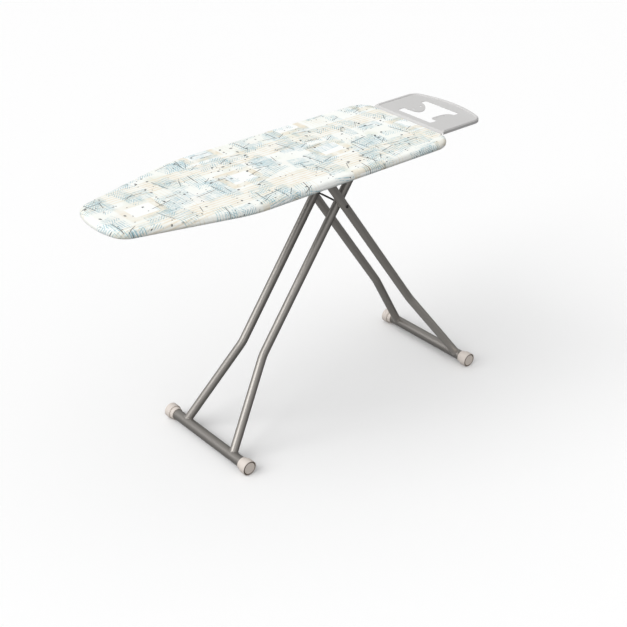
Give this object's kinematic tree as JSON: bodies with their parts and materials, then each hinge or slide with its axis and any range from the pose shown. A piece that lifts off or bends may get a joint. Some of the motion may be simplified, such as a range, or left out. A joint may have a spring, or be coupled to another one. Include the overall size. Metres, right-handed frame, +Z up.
{
  "type": "ironing board",
  "caption": "Folding ironing board on crossed tube legs, with a padded printed cover, height catch and a pressed steel iron rest.",
  "frame": {"origin": "on the floor, in the middle of the board's whole length and width", "axes": "+X from the nose to the iron rest, +Y away from the side with the height grip, +Z up"},
  "size_m": [1.404, 0.43, 0.91],
  "materials": {
    "cover_cotton": "printed cotton, off-white with blue, beige and dark strokes",
    "felt": "needled felt",
    "board_paint": "light grey powder coat",
    "rest_paint": "light grey satin powder coat",
    "leg_paint": "warm grey metallic, satin",
    "foot_plastic": "moulded, warm white",
    "plug_plastic": "moulded, greyer",
    "dark_plastic": "moulded, charcoal",
    "nylon": "natural nylon",
    "black_steel": "blackened steel",
    "zinc_steel": "zinc plated"
  },
  "bodies": {
    "board": {"cover": "cover_cotton", "cross_rib_front": "board_paint", "cross_rib_rear": "board_paint", "felt_pad": "felt", "height_rack_far": "board_paint", "height_rack_near": "board_paint", "hinge_blocks": "nylon", "hinge_rivets": "zinc_steel", "hinge_straps": "board_paint", "iron_rest": "rest_paint", "long_rib_far": "board_paint", "long_rib_near": "board_paint", "rail_rivets": "zinc_steel", "rest_rivets": "zinc_steel", "slide_rail_far": "board_paint", "slide_rail_near": "board_paint", "top_sheet": "board_paint"},
    "nose_leg": {"nose_foot_cap_far": "foot_plastic", "nose_foot_cap_near": "foot_plastic", "nose_foot_plug_far": "plug_plastic", "nose_foot_plug_near": "plug_plastic", "nose_foot_tube": "leg_paint", "nose_head_plug_far": "dark_plastic", "nose_head_plug_near": "dark_plastic", "nose_leg_tube_far": "leg_paint", "nose_leg_tube_near": "leg_paint", "nose_top_tube": "leg_paint"},
    "rest_leg": {"rest_foot_cap_far": "foot_plastic", "rest_foot_cap_near": "foot_plastic", "rest_foot_plug_far": "plug_plastic", "rest_foot_plug_near": "plug_plastic", "rest_foot_tube": "leg_paint", "rest_head_plug_far": "dark_plastic", "rest_head_plug_near": "dark_plastic", "rest_leg_tube_far": "leg_paint", "rest_leg_tube_near": "leg_paint", "slide_bush_far": "nylon", "slide_bush_near": "nylon", "slide_pin_far": "zinc_steel", "slide_pin_near": "zinc_steel", "cross_rod": "black_steel", "cross_washers": "nylon"},
    "catch": {"catch_wire": "zinc_steel", "catch_grip": "dark_plastic", "catch_spring": "zinc_steel"}
  },
  "joints": [
    {"name": "leg_fold", "type": "hinge", "parent": "board", "child": "nose_leg", "pos_m": [0.23961, 0, 0.866], "axis": [0, 1, 0], "range_deg": [0, 54.5]},
    {"name": "leg_cross", "type": "hinge", "parent": "nose_leg", "child": "rest_leg", "pos_m": [0.145, 0, 0.73036], "axis": [0, 1, 0], "range_deg": [-109, 0]},
    {"name": "catch_squeeze", "type": "hinge", "parent": "board", "child": "catch", "pos_m": [0.085, 0, 0.887], "axis": [0, -1, 0], "range_deg": [0, 7], "stiffness_Nm_per_rad": 0.8, "springref_deg": -28.65}
  ],
  "couplings": [
    {"joint": "leg_cross", "follows": "leg_fold", "ratio": -2}
  ]
}
